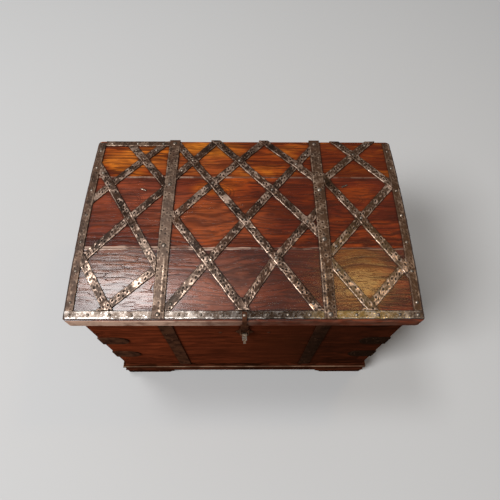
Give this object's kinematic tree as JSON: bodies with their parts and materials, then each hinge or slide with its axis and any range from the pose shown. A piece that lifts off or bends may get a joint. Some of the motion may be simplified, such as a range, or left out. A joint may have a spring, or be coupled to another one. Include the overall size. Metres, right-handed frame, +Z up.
{
  "type": "donation box",
  "caption": "Cambered-lid hardwood donation box with a crossing iron strap lattice, band hinges, hook latch, plinth, bracket feet and bail handles",
  "frame": {"origin": "middle of the bounding box in X and Y, on the surface that the feet stand on", "axes": "+X across the front to its right, +Y from the front to the hinged back, +Z up"},
  "size_m": [0.486, 0.3192, 0.3487],
  "materials": {
    "dark_wood": "varnished dark red-brown hardwood",
    "red_wood": "varnished red-brown hardwood with an orange figure",
    "light_wood": "varnished orange-brown hardwood",
    "forged_iron": "punched and hammered forged iron, worn grey-brown",
    "worn_iron": "forged iron rubbed bright on its high spots"
  },
  "bodies": {
    "case": {"front_board": "dark_wood", "back_board": "dark_wood", "left_board": "dark_wood", "right_board": "dark_wood", "bottom_board": "light_wood", "plinth_front": "red_wood", "plinth_back": "red_wood", "plinth_left": "red_wood", "plinth_right": "red_wood", "foot_front_left": "dark_wood", "foot_front_right": "dark_wood", "foot_back_left": "dark_wood", "foot_back_right": "dark_wood", "front_strap_left": "forged_iron", "front_strap_right": "forged_iron", "hinge_strap_left": "forged_iron", "hinge_strap_right": "forged_iron", "hinge_pins": "worn_iron", "corner_straps": "forged_iron", "body_nails": "worn_iron", "latch_plate": "forged_iron", "latch_staple": "worn_iron", "handle_eyes": "forged_iron"},
    "lid": {"lid_plank_front": "red_wood", "lid_plank_middle": "red_wood", "lid_plank_back": "light_wood", "lid_batten_left": "light_wood", "lid_batten_right": "light_wood", "lid_band_left": "forged_iron", "lid_band_right": "forged_iron", "lid_border_front": "forged_iron", "lid_border_left": "forged_iron", "lid_border_right": "forged_iron", "lid_border_back": "forged_iron", "latch_tongue": "forged_iron", "lid_nails": "worn_iron", "lid_staples": "worn_iron", "lattice_left_over_1": "forged_iron", "lattice_left_over_2": "forged_iron", "lattice_left_over_3": "forged_iron", "lattice_centre_over_1": "forged_iron", "lattice_centre_over_2": "forged_iron", "lattice_centre_over_3": "forged_iron", "lattice_centre_over_4": "forged_iron", "lattice_right_over_1": "forged_iron", "lattice_right_over_2": "forged_iron", "lattice_right_over_3": "forged_iron", "lattice_left_under_1": "forged_iron", "lattice_left_under_2": "forged_iron", "lattice_left_under_3": "forged_iron", "lattice_centre_under_1": "forged_iron", "lattice_centre_under_2": "forged_iron", "lattice_centre_under_3": "forged_iron", "lattice_centre_under_4": "forged_iron", "lattice_right_under_1": "forged_iron", "lattice_right_under_2": "forged_iron", "lattice_right_under_3": "forged_iron"},
    "latch_hook": {"latch_hook": "worn_iron"},
    "handle_left": {"handle_left": "forged_iron"},
    "handle_right": {"handle_right": "forged_iron"}
  },
  "joints": [
    {"name": "lid_hinge", "type": "hinge", "parent": "case", "child": "lid", "pos_m": [0, 0.15465, 0.3182], "axis": [-1, 0, 0], "range_deg": [0, 105]},
    {"name": "latch_pivot", "type": "hinge", "parent": "case", "child": "latch_hook", "pos_m": [0, -0.15425, 0.262], "axis": [-1, 0, 0], "range_deg": [0, 180]},
    {"name": "handle_left_pivot", "type": "hinge", "parent": "case", "child": "handle_left", "pos_m": [-0.237, 0.00125, 0.2], "axis": [0, 1, 0], "range_deg": [0, 170]},
    {"name": "handle_right_pivot", "type": "hinge", "parent": "case", "child": "handle_right", "pos_m": [0.237, 0.00125, 0.2], "axis": [0, -1, 0], "range_deg": [0, 170]}
  ]
}
